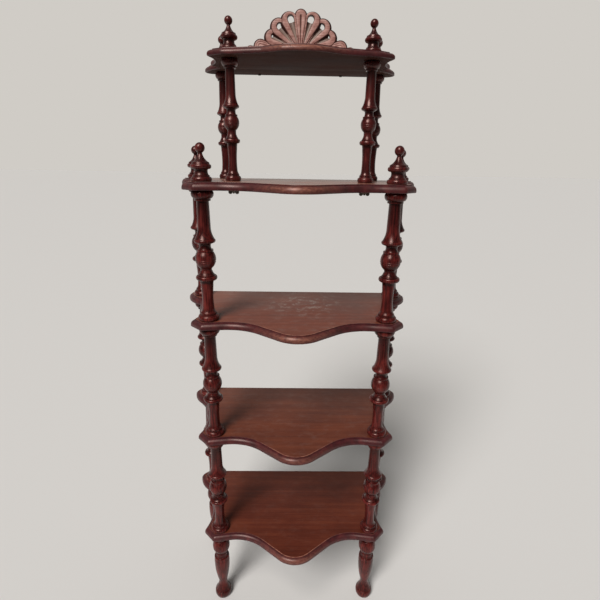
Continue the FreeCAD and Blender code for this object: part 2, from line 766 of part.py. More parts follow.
def shell_crest():
    """Base, petals and boss from the back plane forward, then openings, groove and screw holes."""
    body = doc.addObject("PartDesign::Body", "shell_crest")
    body.Label = "shell_crest"
    foot = f"-{cell('hinge_height')}"
    step = (cell("base_half_width"), f"{foot} + {cell('base_step_height')}")
    shoulder = (f"{cell('base_half_width')} - {cell('base_shoulder_in')}", cell("base_top"))
    hollow = (f"{cell('base_half_width')} - {cell('base_shoulder_in')} * 0.7",
              f"({step[1]}) * 0.7 + {shoulder[1]} * 0.3")
    right = [((step[0], foot),), (step,), (hollow, shoulder)]
    start = ("0", foot)
    left = mirrored(start, right)
    add_pad(body, "crest_base", start, right + [(flipped(shoulder),)] + left, cell("base_thickness"))
    for petal, numbers in PETALS.items():
        angles = both_sides(petal) if numbers[0] else ["0 deg"]
        for number, angle in enumerate(angles, start=1):
            tip, edges = teardrop(angle, "0", cell(f"{petal}_reach"), cell(f"{petal}_end_radius"))
            add_pad(body, f"{petal}_{number}", tip, edges, cell(f"{petal}_thickness"))
    start, edges = circle("0", "0", cell("boss_radius"))
    add_pad(body, "boss", start, edges, cell("boss_thickness"))
    for opening in OPENINGS:
        for number, angle in enumerate(both_sides(opening), start=1):
            round_end = (cell(f"{opening}_reach"), cell(f"{opening}_end_radius"))
            tip, edges = teardrop(angle, cell(f"{opening}_start"), *round_end)
            cut_pocket(body, f"{opening}_flute_{number}", tip, edges,
                       f"{cell('boss_thickness')} - {cell('flute_floor')}", False,
                       lift=cell("boss_thickness"))
            tip, edges = teardrop(angle, cell(f"{opening}_pierced_from"), *round_end)
            cut_pocket(body, f"{opening}_{number}", tip, edges, cell("boss_thickness"), True)
    tip, edges = teardrop("0 deg", cell("groove_start"), cell("groove_reach"), cell("groove_end_radius"))
    cut_pocket(body, "groove", tip, edges, cell("groove_depth"), False,
               lift=cell("petal_middle_thickness"))
    for number, (x, y) in enumerate(SCREW_SPOTS, start=1):
        start, edges = circle(x, f"-{cell('base_thickness')} / 2", SCREW_HOLE)
        cut_pocket(body, f"screw_hole_{number}", start, edges,
                   f"{cell('screw_grip')} + {cell('socket_relief')}", True, "XY_Plane", foot)
    place(body, y=CREST_BACK, z=f"{TOP_SEAT} + {cell('hinge_height')}")
    return body


pieces = feet() + lower_posts() + upper_posts() + finials() + lower_shelves()
pieces += [top_shelf(), hanger_bolts(), washers(), wing_nuts(), crest_screws(), shell_crest()]
doc.recompute()

failed = [thing.Name for thing in doc.Objects if {"Invalid", "Error"} & set(thing.State)]
failed += [piece.Label for piece in pieces if piece.Shape.isNull() or not piece.Shape.isValid()]
if failed:
    raise RuntimeError(f"these did not build: {', '.join(failed)}")

os.makedirs("parts", exist_ok=True)
for piece in pieces:
    piece.Shape.exportStep(os.path.join("parts", f"{piece.Label}.step"))
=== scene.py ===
import math

import bmesh
import bpy
from mathutils import Matrix, Vector


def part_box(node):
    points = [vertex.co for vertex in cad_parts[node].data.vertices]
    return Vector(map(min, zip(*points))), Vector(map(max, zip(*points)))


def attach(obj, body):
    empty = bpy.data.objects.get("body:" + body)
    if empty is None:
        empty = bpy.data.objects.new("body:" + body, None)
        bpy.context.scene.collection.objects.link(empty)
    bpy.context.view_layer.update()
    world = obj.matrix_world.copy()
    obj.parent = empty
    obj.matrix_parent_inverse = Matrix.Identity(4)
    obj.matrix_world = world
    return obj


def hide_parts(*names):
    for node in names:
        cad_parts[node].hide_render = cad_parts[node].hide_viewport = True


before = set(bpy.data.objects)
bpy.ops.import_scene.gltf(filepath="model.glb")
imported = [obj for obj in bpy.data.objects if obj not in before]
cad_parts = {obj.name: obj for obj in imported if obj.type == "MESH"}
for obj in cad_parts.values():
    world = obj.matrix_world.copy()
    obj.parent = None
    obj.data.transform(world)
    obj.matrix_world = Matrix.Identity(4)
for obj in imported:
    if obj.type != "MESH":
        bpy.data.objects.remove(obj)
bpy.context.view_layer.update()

# ---- Feet
# Four vase-shaped feet of beech, turned between centres on a lathe, sanded while they spin and
# varnished in a wine-red mahogany stain. Each takes the tenon of the post above in its top.

MM = 0.001
CORNERS = ("front_left", "front_right", "back_left", "back_right")
FACETS = 56

# Each moulding: height, then the radius at its foot, half way up and at its head, and where lines
# are cut into it. None for a height takes what is left, for a radius it carries on or stays upright.
FOOT_LENGTH = 260
FOOT_MOULDINGS = [
    (24, 23, 27, 25),
    (24, 24, 18.5, 14.2),
    (20, None, 13.6, 14.8),
    (None, None, 23.2, 23.5, 0.9),
    (18, 20.5, 18, 19.5),
    (50, 18, 27, 20, 0.42, 0.52),
    (6, 17.5, 16.5, 17.5),
    (18, 21.5, 25.5, 22),
]
EASED_CORNER = 0.7  # mm, left by the sandpaper
SHARP_TURN = 0.4  # radians, the least turn of an outline that counts as a corner
SCRIBED_LINE = (0.9, 0.7)  # mm, half width and depth of a line cut with the skew chisel
RECESS_REACH = 8  # mm up and down in which a cove is told from its beads, and its depth where darkest
STAIN_GATHERED = 0.72  # how far the stain goes to black in the deepest coves


def srgb(code):
    """A hex colour as linear light."""
    parts = [int(code[i:i + 2], 16) / 255 for i in (1, 3, 5)]
    return (*[p / 12.92 if p <= 0.04045 else ((p + 0.055) / 1.055) ** 2.4 for p in parts], 1)


def feed(tree, node, inputs):
    """Feed each input by a plain value, a socket, or a node, whose first live output counts."""
    for socket, source in inputs.items():
        if isinstance(source, bpy.types.Node):
            source = next(output for output in source.outputs if output.enabled)
        if isinstance(source, bpy.types.NodeSocket):
            tree.links.new(source, node.inputs[socket])
        else:
            node.inputs[socket].default_value = source


def add_node(tree, kind, inputs=None, **settings):
    """Add a node with its settings and inputs."""
    node = tree.nodes.new(kind)
    for name, setting in settings.items():
        setattr(node, name, setting)
    feed(tree, node, inputs or {})
    return node


def ramp(node, *stops):
    """Give a colour ramp its stops, each a place and a hex colour."""
    elements = node.color_ramp.elements
    while len(elements) < len(stops):
        elements.new(0.5)
    for element, (place, code) in zip(elements, stops):
        element.position = place
        element.color = srgb(code)
    return node


def new_finish(name):
    """A material, its node tree, Object coordinates and shader."""
    finish = bpy.data.materials.new(name)
    finish.use_nodes = True
    tree = finish.node_tree
    tree.nodes.clear()
    where = add_node(tree, "ShaderNodeTexCoord").outputs["Object"]
    shader = add_node(tree, "ShaderNodeBsdfPrincipled")
    add_node(tree, "ShaderNodeOutputMaterial", {"Surface": shader})
    return finish, tree, where, shader


def varnished_turned_beech(name, dark, middle, light, roughness, shine):
    """Stained and varnished beech: deep wine red, glossy, nearly black where stain gathers."""
    finish, tree, where, shader = new_finish(name)
    # Rays of the wood run up the piece, about 3 mm wide and 70 mm long, coarser than beech has them
    # so that they show
    fibres = add_node(tree, "ShaderNodeMapping", {"Vector": where, "Scale": (330, 330, 14)})
    rays = add_node(tree, "ShaderNodeTexNoise", {"Vector": fibres, "Scale": 1.0, "Detail": 3.0})
    # Stain taken up unevenly, in clouds of 25 to 45 mm
    patches = add_node(tree, "ShaderNodeMapping", {"Vector": where, "Scale": (40, 40, 22)})
    clouds = add_node(tree, "ShaderNodeTexNoise", {"Vector": patches, "Scale": 1.0, "Detail": 4.0})
    both = add_node(tree, "ShaderNodeMix", {"Factor": 0.4, 2: rays, 3: clouds})
    stain = ramp(add_node(tree, "ShaderNodeValToRGB", {"Fac": both}),
                 (0.38, dark), (0.5, middle), (0.63, light))
    recess = add_node(tree, "ShaderNodeAttribute", attribute_name="recess").outputs["Fac"]
    gathered = add_node(tree, "ShaderNodeMath", {0: recess, 1: STAIN_GATHERED}, operation="MULTIPLY")
    glaze = add_node(tree, "ShaderNodeMix", {"Factor": gathered, 6: stain, 7: srgb("#190808")},
                     data_type="RGBA")
    worn = add_node(tree, "ShaderNodeMapRange",
                    {"Value": clouds, "From Min": 0.35, "From Max": 0.7,
                     "To Min": roughness, "To Max": roughness + 0.12})
    relief = add_node(tree, "ShaderNodeBump", {"Height": rays, "Strength": 0.12, "Distance": 0.0004})
    feed(tree, shader, {"Base Color": glaze, "Roughness": worn, "Normal": relief, "IOR": 1.5,
                        "Specular IOR Level": shine, "Specular Tint": srgb("#e9c4bd")})
    return finish


def arc_through(first, middle, last, steps):
    """Points along the circle through three points, both ends included."""
    (ax, ay), (bx, by), (cx, cy) = first, middle, last
    twice = 2 * (ax * (by - cy) + bx * (cy - ay) + cx * (ay - by))
    if abs(twice) < 1e-6:
        return [(ax + (cx - ax) * i / steps, ay + (cy - ay) * i / steps) for i in range(steps + 1)]
    squares = ax * ax + ay * ay, bx * bx + by * by, cx * cx + cy * cy
    ux = (squares[0] * (by - cy) + squares[1] * (cy - ay) + squares[2] * (ay - by)) / twice
    uy = (squares[0] * (cx - bx) + squares[1] * (ax - cx) + squares[2] * (bx - ax)) / twice
    radius = math.hypot(ax - ux, ay - uy)
    start, end = math.atan2(ay - uy, ax - ux), math.atan2(cy - uy, cx - ux)
    turn = 1 if twice > 0 else -1
    while (end - start) * turn < 0:
        end += turn * math.tau
    sweep = [start + (end - start) * i / steps for i in range(steps + 1)]
    return [(ux + radius * math.cos(a), uy + radius * math.sin(a)) for a in sweep]


def eased(points, ease):
    """The outline with every sharp turn rounded off."""
    soft = [points[0]]
    for before, here, after in zip(points, points[1:], points[2:]):
        corner = Vector(here)
        into, out = corner - Vector(before), Vector(after) - corner
        if into.angle(out, 0) < SHARP_TURN:
            soft.append(here)
            continue
        start = corner - into.normalized() * min(ease, into.length * 0.45)
        end = corner + out.normalized() * min(ease, out.length * 0.45)
        for t in (0, 0.25, 0.5, 0.75, 1):
            soft.append(tuple(start * (1 - t) ** 2 + corner * 2 * t * (1 - t) + end * t * t))
    return soft + [points[-1]]


def turned_outline(mouldings, length, girth=1, rise=1):
    """Points up the side of a turned piece, as radius and height in mm."""
    rest = length / rise - sum(moulding[0] or 0 for moulding in mouldings)
    points = [(0, 0)]
    for tall, lower, middle, upper, *lines in mouldings:
        radius, height = points[-1]
        tall = rest if tall is None else tall
        lower = radius if lower is None else lower
        upper = lower if upper is None else upper
        if middle is None:
            side = [(lower, height), (upper, height + tall)]
        else:
            ends = (lower, height), (middle, height + tall / 2), (upper, height + tall)
            side = arc_through(*ends, steps=14)
        for share in lines:
            at = height + tall * share
            half, depth = SCRIBED_LINE
            near = min(side, key=lambda point: abs(point[1] - at))[0]
            side = [point for point in side if abs(point[1] - at) > half * 1.5]
            side += [(near, at - half), (near - depth, at), (near, at + half)]
            side.sort(key=lambda point: point[1])
        points += [point for point in side if math.dist(point, points[-1]) > 0.01]
    points.append((0, points[-1][1]))
    return eased([(radius * girth, height * rise) for radius, height in points], EASED_CORNER)


def new_group(name, **given):
    """A geometry node tree, and the sockets of its named inputs."""
    tree = bpy.data.node_groups.new(name, "GeometryNodeTree")
    for label, kind in given.items():
        tree.interface.new_socket(label, in_out="INPUT", socket_type=f"NodeSocket{kind}")
    tree.interface.new_socket("Made", in_out="OUTPUT", socket_type="NodeSocketGeometry")
    return tree, add_node(tree, "NodeGroupInput").outputs


def lathe():
    """Turns an outline drawn in the XZ plane about the upright through its origin."""
    tree, given = new_group("lathe", Outline="Geometry", Facets="Int", Place="Vector", Finish="Material")
    outline, facets = given["Outline"], given["Facets"]
    points = add_node(tree, "GeometryNodeAttributeDomainSize", {"Geometry": outline},
                      component="MESH").outputs["Point Count"]
    columns = add_node(tree, "FunctionNodeIntegerMath", {0: facets, 1: 1}, operation="ADD")
    grid = add_node(tree, "GeometryNodeMeshGrid", {"Vertices X": columns, "Vertices Y": points})
    index = add_node(tree, "GeometryNodeInputIndex")
    row = add_node(tree, "FunctionNodeIntegerMath", {0: index, 1: points}, operation="MODULO")
    column = add_node(tree, "FunctionNodeIntegerMath", {0: index, 1: points}, operation="DIVIDE_FLOOR")
    # The place of each row's point and the depth of its cove, read from the outline
    read = {"Geometry": outline, "Index": row}
    drawn = add_node(tree, "GeometryNodeInputPosition")
    side = add_node(tree, "GeometryNodeSampleIndex", {**read, "Value": drawn}, data_type="FLOAT_VECTOR")
    hollow = add_node(tree, "GeometryNodeInputNamedAttribute", {"Name": "recess"}, data_type="FLOAT")
    depth = add_node(tree, "GeometryNodeSampleIndex", {**read, "Value": hollow}, data_type="FLOAT")
    share = add_node(tree, "ShaderNodeMath", {0: column, 1: facets}, operation="DIVIDE")
    angle = add_node(tree, "ShaderNodeMath", {0: share, 1: math.tau}, operation="MULTIPLY")
    spun = add_node(tree, "ShaderNodeVectorRotate", {"Vector": side, "Angle": angle},
                    rotation_type="Z_AXIS")
    stood = add_node(tree, "ShaderNodeVectorMath", {0: spun, 1: given["Place"]}, operation="ADD")
    shape = add_node(tree, "GeometryNodeSetPosition", {"Geometry": grid, "Position": stood})
    noted = add_node(tree, "GeometryNodeStoreNamedAttribute",
                     {"Geometry": shape, "Name": "recess", "Value": depth},
                     data_type="FLOAT", domain="POINT")
    closed = add_node(tree, "GeometryNodeMergeByDistance", {"Geometry": noted, "Distance": 1e-5})
    smooth = add_node(tree, "GeometryNodeSetShadeSmooth", {"Geometry": closed})
    done = add_node(tree, "GeometryNodeSetMaterial", {"Geometry": smooth, "Material": given["Finish"]})
    add_node(tree, "NodeGroupOutput", {0: done})
    return tree


def in_scene(name, data, *finishes):
    """A mesh, light or camera as an object of the scene, a mesh with its finishes."""
    for finish in finishes:
        data.materials.append(finish)
    piece = bpy.data.objects.new(name, data)
    bpy.context.collection.objects.link(piece)
    return piece


def made_plain(name, mesh, tree, **inputs):
    """An object with what a node tree, its inputs given by name, makes of a mesh."""
    sockets = {item.name: item.identifier for item in tree.interface.items_tree if item.in_out == "INPUT"}
    piece = in_scene(name, mesh)
    modifier = piece.modifiers.new(tree.name, "NODES")
    modifier.node_group = tree
    for label, setting in inputs.items():
        modifier[sockets[label]] = setting
    evaluated = piece.evaluated_get(bpy.context.evaluated_depsgraph_get())
    plain = bpy.data.meshes.new_from_object(evaluated)
    piece.modifiers.clear()
    piece.data = plain
    return piece


def turned(name, outline, finish, stands_at=(0, 0, 0)):
    """One turned piece, its outline spun on the lathe."""
    drawn = bpy.data.meshes.new(name)
    drawn.from_pydata([(radius * MM, 0, height * MM) for radius, height in outline],
                      [(i, i + 1) for i in range(len(outline) - 1)], [])
    recess = drawn.attributes.new("recess", "FLOAT", "POINT")
    for value, (radius, height) in zip(recess.data, outline):
        proud = max(other for other, at in outline if abs(at - height) < RECESS_REACH)
        value.value = min(1, (proud - radius) / RECESS_REACH) if radius > 0 else 0
    return made_plain(name, drawn, LATHE, Facets=FACETS, Place=stands_at, Finish=finish)


def finished(piece, material_slot, *nodes):
    """The piece belongs to the etagere and stands for its solids, which are hidden; material_slot is not
    used.
    """
    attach(piece, "root")
    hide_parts(*nodes)


def upright_of(node):
    """Where the axis of a turned solid stands."""
    low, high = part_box(node)
    return (low[0] + high[0]) / 2, (low[1] + high[1]) / 2


LATHE = lathe()
TURNED_FINISH = varnished_turned_beech("varnished_turned_beech", "#290d0d", "#4c1817", "#702a26",
                                       0.23, 0.44)
foot_outline = turned_outline(FOOT_MOULDINGS, FOOT_LENGTH)
for corner in CORNERS:
    node = f"foot_{corner}"
    foot = turned(f"turned_{node}", foot_outline, TURNED_FINISH, (*upright_of(node), 0))
    finished(foot, "turned_wood", node)

# ---- Lower posts
# Three tiers of four baluster posts, turned like the feet from the same stained beech: a long shaft
# below, a ball between two beads, and a capital under the next shelf. Tenons join them tier to tier.

POST_LENGTH = 340
POST_FEET = (280, 640, 1000)
POST_MOULDINGS = [
    (16, 24.5, 28, 23.5),
    (6, 21.5, None, None),
    (12, 20.5, 17, 15.8),
    (62, None, 14.6, 16.5),
    (15, None, 16.9, 18.5),
    (12, 20.5, 27.6, 25.4),
    (1.5, 21.2, None, None),
    (10.5, 22.6, 18.4, 16.2),
    (8, 15.6, 14.6, 15.4),
    (44, None, 26.5, 19.5, 0.42, 0.54),
    (5, 20.8, None, None),
    (15, 17, 14.8, 15.8),
    (3, 18, None, 23),
    (9, 24.6, 27.4, 25),
    (26, None, 19.3, 16.8),
    (None, None, None, 15.3),
    (6, 20, None, None),
    (20, 22.5, 28, 24),
]

post_outline = turned_outline(POST_MOULDINGS, POST_LENGTH)
for tier, height in enumerate(POST_FEET, start=1):
    for corner in CORNERS:
        node = f"post_{tier}_{corner}"
        post = turned(f"turned_{node}", post_outline, TURNED_FINISH, (*upright_of(node), height * MM))
        finished(post, "turned_wood", node)

# ---- Upper posts
# Four slimmer posts that carry the top shelf: the same turning drawn smaller in girth and height,
# each held from below by a bolt through the fourth shelf.

UPPER_LENGTH = 280
UPPER_GIRTH = 0.72
UPPER_RISE = 0.82
UPPER_FOOT = 1360

# The neck and the ball, which is turned rounder than on the posts below
UPPER_BALL = [(14, 15.6, 14.6, 15.4), (38, None, 26.5, 19.5, 0.42, 0.54)]
UPPER_MOULDINGS = POST_MOULDINGS[:8] + UPPER_BALL + POST_MOULDINGS[10:]

# The stain is more even up here and the varnish glossier
DARK_FINISH = varnished_turned_beech("dark_varnished_turned_beech", "#2e0f10", "#491818", "#662623",
                                     0.24, 0.72)
upper_outline = turned_outline(UPPER_MOULDINGS, UPPER_LENGTH, UPPER_GIRTH, UPPER_RISE)
for corner in CORNERS:
    node = f"upper_post_{corner}"
    post = turned(f"turned_{node}", upper_outline, DARK_FINISH, (*upright_of(node), UPPER_FOOT * MM))
    finished(post, "turned_wood", node)

# ---- Finials
# Turned finials with a round knop close the ends of the posts: four on the fourth shelf and four
# smaller ones on the top shelf, of the same stained beech, tenoned through the shelf.

FINIAL_LENGTH = 90
FINIALS = (("finial", 1360, 1), ("top_finial", 1656, 0.8))  # name, foot, scale
FINIAL_MOULDINGS = [
    (11, 23.5, 25.6, 22.8),
    (4, 20.6, None, None),
    (14, 18.6, 16, 17),
    (11, 18.6, 25.2, 23.2),
    (5.5, 21.6, None, 20.4),
    (17.5, 18.8, 9.8, 5.8),
    (3.5, 5.4, None, None),
    (23.5, 4.8, 11.9, 1.2),
]

for name, height, scale in FINIALS:
    outline = turned_outline(FINIAL_MOULDINGS, FINIAL_LENGTH * scale, scale, scale)
    for corner in CORNERS:
        node = f"{name}_{corner}"
        finial = turned(f"turned_{node}", outline, DARK_FINISH, (*upright_of(node), height * MM))
        finished(finial, "turned_wood", node)

# ---- Lower shelves
# Four shelves of solid mahogany, glued up from boards whose grain runs from side to side. The plan
# is sawn in serpentine curves, and a broad ovolo runs around its edge under a small step.

SHELF_FRONT = -192
SHELF_UNDERSIDES = (260, 620, 980, 1340)
SHELF_NOSE = (47, 16)  # where the arc of the nose ends, seen from its tip
# The right-hand half of the plan from the nose to the back: a line's end, or an arc's middle and end
SHELF_PLAN = [
    [(105, 63)],
    [(150, 85.5), (200, 89)],
    [(256, 81)],
    [(291, 117)],
    [(284, 137)],
    [(278, 186.5), (289, 236)],
    [(301, 295.5)],
    [(331, 320.5), (350, 363)],
    [(344, 377.7), (330, 384)],
]
SHELF_THICKNESS = 20
# Edge moulding: a round lower corner, an upright edge, a broad ovolo and a small step to the face
CORNER_ROUND, EDGE_HEIGHT, OVOLO_WIDTH, STEP_HEIGHT, STEP_BEVEL = 2.5, 5, 10, 2.4, 0.6
OVOLO_WORN = (30, 60, 0.25)  # degrees at which it is worn most and over which wear fades, least wear
CORNER_WORN = 0.3  # wear where the rounded lower corner meets the upright edge
# How far in and how much higher than the step each line of its arris lies, in bevels, and its wear,
# which also paints the thin highlight along the arris: far past 1, so that it reaches well beyond the nose
ARRIS = ((0.4, -0.2, 4), (1, 0, 6))
# The pale strip of the face beside the arris: wear, and a painted highlight line
ARRIS_PALE_STRIP, FACE_WEAR_AND_GLINT = 2.4, 5  # mm of the face beside the arris, and its wear
PLAN_EASE = 4.5  # mm, sawn corners rubbed down
NOSE_RUBBED, LEAST_RUBBED = 80, 0.08  # mm to either side of the nose that hands wear, share elsewhere
SHARP_EDGE = 38  # degrees
# m: the middle of the worn place on the third shelf, and how far out it starts to fade and ends
WORN_PLACE, WORN_REACH = (0.02, 0.07, 1.0), (0.05, 0.14)


def edge_moulding(thickness):
    """The moulding from the underside up: how far it stands in, its height, how worn its varnish is;
    at the arris the wear also stands for a painted highlight.
    """
    rise = thickness - STEP_HEIGHT - EDGE_HEIGHT
    most, fade, least = OVOLO_WORN
    sides = []
    for turn in (0, 22, 45, 68, 90):
        out, up = math.sin(math.radians(turn)), math.cos(math.radians(turn))
        sides.append((CORNER_ROUND * (1 - out), CORNER_ROUND * (1 - up), CORNER_WORN * turn / 90))
    for turn in range(0, 91, 10):
        out, up = math.cos(math.radians(turn)), math.sin(math.radians(turn))
        worn = max(least, 1 - abs(turn - most) / fade)
        sides.append((OVOLO_WIDTH * (1 - out), EDGE_HEIGHT + rise * up, worn))
    sides.append((OVOLO_WIDTH, thickness - STEP_BEVEL, 0))
    for across, up, worn in ARRIS:
        sides.append((OVOLO_WIDTH + STEP_BEVEL * across, thickness + STEP_BEVEL * up, worn))
    return sides + [(OVOLO_WIDTH + ARRIS_PALE_STRIP, thickness, FACE_WEAR_AND_GLINT)]


def stained_mahogany(name, dark, middle, light, roughness, shine, dust):
    """Mahogany board: straight side-to-side grain with fine dark pores, satin from years of polish."""
    finish, tree, where, shader = new_finish(name)
    # Boards about 125 mm wide, each a little darker or lighter
    split = add_node(tree, "ShaderNodeSeparateXYZ", {"Vector": where}).outputs
    board = add_node(tree, "ShaderNodeMath", {0: split["Y"], 1: 8.0, 2: 0.37}, operation="MULTIPLY_ADD")
    number = add_node(tree, "ShaderNodeMath", {0: board}, operation="FLOOR")
    key = add_node(tree, "ShaderNodeMath", {0: number, 1: split["Z"]}, operation="ADD")
    coarse = add_node(tree, "ShaderNodeMath", {0: key, 1: 0.25}, operation="SNAP")
    tone = add_node(tree, "ShaderNodeTexWhiteNoise", {"W": coarse}, noise_dimensions="1D")
    shift = add_node(tree, "ShaderNodeMath", {0: tone, 1: 0.07, 2: -0.035}, operation="MULTIPLY_ADD")
    # Growth figure: streaks about 14 mm wide that run for nearly half a metre, gently waved
    bands = add_node(tree, "ShaderNodeMapping", {"Vector": where, "Scale": (2.2, 70, 30)})
    figure = add_node(tree, "ShaderNodeTexNoise",
                      {"Vector": bands, "Scale": 1.0, "Detail": 5.0, "Roughness": 0.6, "Distortion": 0.6})
    # Pores about 0.8 mm wide and 25 mm long, coarser than the wood's own so that they show
    slits = add_node(tree, "ShaderNodeMapping", {"Vector": where, "Scale": (38, 1250, 600)})
    pores = add_node(tree, "ShaderNodeTexNoise", {"Vector": slits, "Scale": 1.0, "Detail": 2.0})
    # Polish worn in clouds a hand wide
    patches = add_node(tree, "ShaderNodeMapping", {"Vector": where, "Scale": (9, 12, 9)})
    clouds = add_node(tree, "ShaderNodeTexNoise", {"Vector": patches, "Scale": 1.0, "Detail": 5.0})
    streaks = add_node(tree, "ShaderNodeMix", {"Factor": 0.42, 2: figure, 3: pores})
    shaded = add_node(tree, "ShaderNodeMix", {"Factor": 0.35, 2: streaks, 3: clouds})
    value = add_node(tree, "ShaderNodeMath", {0: shaded, 1: shift}, operation="ADD")
    stain = ramp(add_node(tree, "ShaderNodeValToRGB", {"Fac": value}),
                 (0.34, dark), (0.5, middle), (0.66, light))
    # Dry dust and scuffs, in spots of 22 to 33 mm, that dull the polish
    spots = add_node(tree, "ShaderNodeMapping", {"Vector": where, "Scale": (30, 45, 30)})
    scuffs = add_node(tree, "ShaderNodeTexNoise",
                      {"Vector": spots, "Scale": 1.0, "Detail": 8.0, "Roughness": 0.7})
    film = add_node(tree, "ShaderNodeMapRange",
                    {"Value": scuffs, "From Min": 0.5, "From Max": 0.78, "To Max": dust})
    # Painted sheen towards the back: a grey film for a pale wall reflected there, and dust where a cloth
    # seldom reaches
    painted_sheen_at_back = add_node(tree, "ShaderNodeMapRange",
                       {"Value": split["Y"], "From Min": -0.04, "From Max": 0.16, "To Max": dust * 0.7})
    # A worn place on the third shelf, scratched in broken rings about 40 mm apart, where something
    # heavy was turned about
    away = add_node(tree, "ShaderNodeVectorMath", {0: where, 1: WORN_PLACE}, operation="DISTANCE")
    near = add_node(tree, "ShaderNodeMapRange",
                    {"Value": away, "From Min": WORN_REACH[0], "From Max": WORN_REACH[1],
                     "To Min": dust * 2.2, "To Max": 0.0})
    centred = add_node(tree, "ShaderNodeVectorMath", {0: where, 1: WORN_PLACE}, operation="SUBTRACT")
    swirls = add_node(tree, "ShaderNodeTexWave",
                      {"Vector": centred, "Scale": 8.0, "Distortion": 16.0, "Detail": 4.0,
                       "Detail Scale": 1.3, "Detail Roughness": 0.75},
                      wave_type="RINGS", rings_direction="Z").outputs["Fac"]
    scored = add_node(tree, "ShaderNodeMapRange", {"Value": swirls, "From Min": 0.6, "From Max": 0.95})
    broken = add_node(tree, "ShaderNodeMapRange", {"Value": scuffs, "From Min": 0.42, "From Max": 0.6})
    marks = add_node(tree, "ShaderNodeMath", {0: scored, 1: broken}, operation="MULTIPLY")
    worn = add_node(tree, "ShaderNodeMath", {0: near, 1: marks, 2: film}, operation="MULTIPLY_ADD")
    # Dust, scuffs and scratches grey the stain, and so does the painted sheen at the back
    dust_and_sheen = add_node(tree, "ShaderNodeMath", {0: worn, 1: painted_sheen_at_back}, operation="ADD", use_clamp=True)
    with_dust_and_painted_light = add_node(tree, "ShaderNodeMix", {"Factor": dust_and_sheen, 6: stain, 7: srgb("#94827b")},
                     data_type="RGBA")
    dulled = add_node(tree, "ShaderNodeMapRange",
                      {"Value": clouds, "From Min": 0.35, "From Max": 0.7,
                       "To Min": roughness, "To Max": roughness + 0.14})
    relief = add_node(tree, "ShaderNodeBump", {"Height": streaks, "Strength": 0.15, "Distance": 0.0005})
    feed(tree, shader, {"Base Color": with_dust_and_painted_light, "Roughness": dulled, "Normal": relief, "IOR": 1.48,
                        "Specular IOR Level": shine})
    return finish


def varnished_edge():
    """The moulded edge: the stain laid on thicker over end grain, worn pale where hands catch it,
    and painted pale along the arris as a highlight.
    """
    finish, tree, where, shader = new_finish("varnished_shelf_edge")
    # Stain in clouds of about 17 mm
    patches = add_node(tree, "ShaderNodeMapping", {"Vector": where, "Scale": (60, 60, 60)})
    clouds = add_node(tree, "ShaderNodeTexNoise", {"Vector": patches, "Scale": 1.0, "Detail": 5.0})
    stain = ramp(add_node(tree, "ShaderNodeValToRGB", {"Fac": clouds}),
                 (0.3, "#321419"), (0.52, "#431a1f"), (0.7, "#542325"))
    # Wear breaks through in flecks of 4 to 9 mm, drawn out along the edge
    drawn = add_node(tree, "ShaderNodeMapping", {"Vector": where, "Scale": (110, 190, 260)})
    flecks = add_node(tree, "ShaderNodeTexNoise", {"Vector": drawn, "Scale": 1.0, "Detail": 4.0})
    broken = add_node(tree, "ShaderNodeMapRange",
                      {"Value": flecks, "From Min": 0.38, "From Max": 0.62, "To Min": 0.4})
    # Wear, and the thin painted highlight along the arris, lighten the edge towards bare wood
    wear_and_painted_glint = add_node(tree, "ShaderNodeAttribute", attribute_name="wear_and_painted_glint").outputs["Fac"]
    bare = add_node(tree, "ShaderNodeMath", {0: wear_and_painted_glint, 1: broken}, operation="MULTIPLY")
    worn = add_node(tree, "ShaderNodeMix", {"Factor": bare, 6: stain, 7: srgb("#a06a58")}, data_type="RGBA")
    relief = add_node(tree, "ShaderNodeBump", {"Height": clouds, "Strength": 0.1, "Distance": 0.0006})
    feed(tree, shader, {"Base Color": worn, "Roughness": 0.38, "Normal": relief, "IOR": 1.5,
                        "Specular IOR Level": 0.6, "Specular Tint": srgb("#ecd2cd")})
    return finish


def drawn_in(start, edges, inset):
    """The right half of a plan, from start to its back corner, every side but the back drawn in."""
    here, directions = start, []
    for edge in edges:
        walk = arc_through(here, *edge, steps=40) if len(edge) == 2 else [here, edge[0]]
        half = len(walk) // 2
        steps = (0, 1), (half - 1, half), (-2, -1)
        directions.append([Vector(walk[b]) - Vector(walk[a]) for a, b in steps])
        here = edge[-1]

    def moved(point, arriving, leaving):
        normals = [Vector((-way.y, way.x)).normalized() for way in (arriving, leaving)]
        step = (normals[0] + normals[1]) / (1 + normals[0].dot(normals[1]))
        return point[0] + step.x * inset, point[1] + step.y * inset

    sideways = Vector((0, 1))
    leaving = [ways[0] for ways in directions[1:]]
    new_edges = []
    for edge, ways, after in zip(edges, directions, leaving + [None]):
        end = moved(edge[-1], sideways, sideways) if after is None else moved(edge[-1], ways[2], after)
        new_edges.append([moved(edge[0], ways[1], ways[1]), end] if len(edge) == 2 else [end])
    return moved(start, directions[0][0], directions[0][0]), new_edges


def plan_ring(nose, plan, inset):
    """The whole plan at one inset, walked anticlockwise: always the same number of points."""
    start, edges = drawn_in(nose, plan, inset)
    tip = arc_through((-start[0], start[1]), (0, inset), start, steps=24)
    half, here = [start], start
    for edge in edges:
        half += arc_through(here, *edge, steps=16)[1:] if len(edge) == 2 else [edge[0]]
        here = edge[-1]
    soft = []
    for before, here, after in zip([tip[-2]] + half, half, half[1:] + [(0, half[-1][1])]):
        into, out = [way.normalized() * min(PLAN_EASE, way.length / 3)
                     for way in (Vector(here) - Vector(before), Vector(after) - Vector(here))]
        for t in (0, 0.33, 0.67, 1):
            soft.append(tuple(Vector(here) - into * (1 - t) ** 2 + out * t * t))
    return tip[1:-1] + soft + [(-x, y) for x, y in reversed(soft)]


def made_mesh(name, shape, sharp=None):
    """The shape kept as a mesh, its edges sharp where faces turn by that many degrees."""
    mesh = bpy.data.meshes.new(name)
    shape.to_mesh(mesh)
    shape.free()
    if sharp:
        mesh.set_sharp_from_angle(angle=math.radians(sharp))
    return mesh


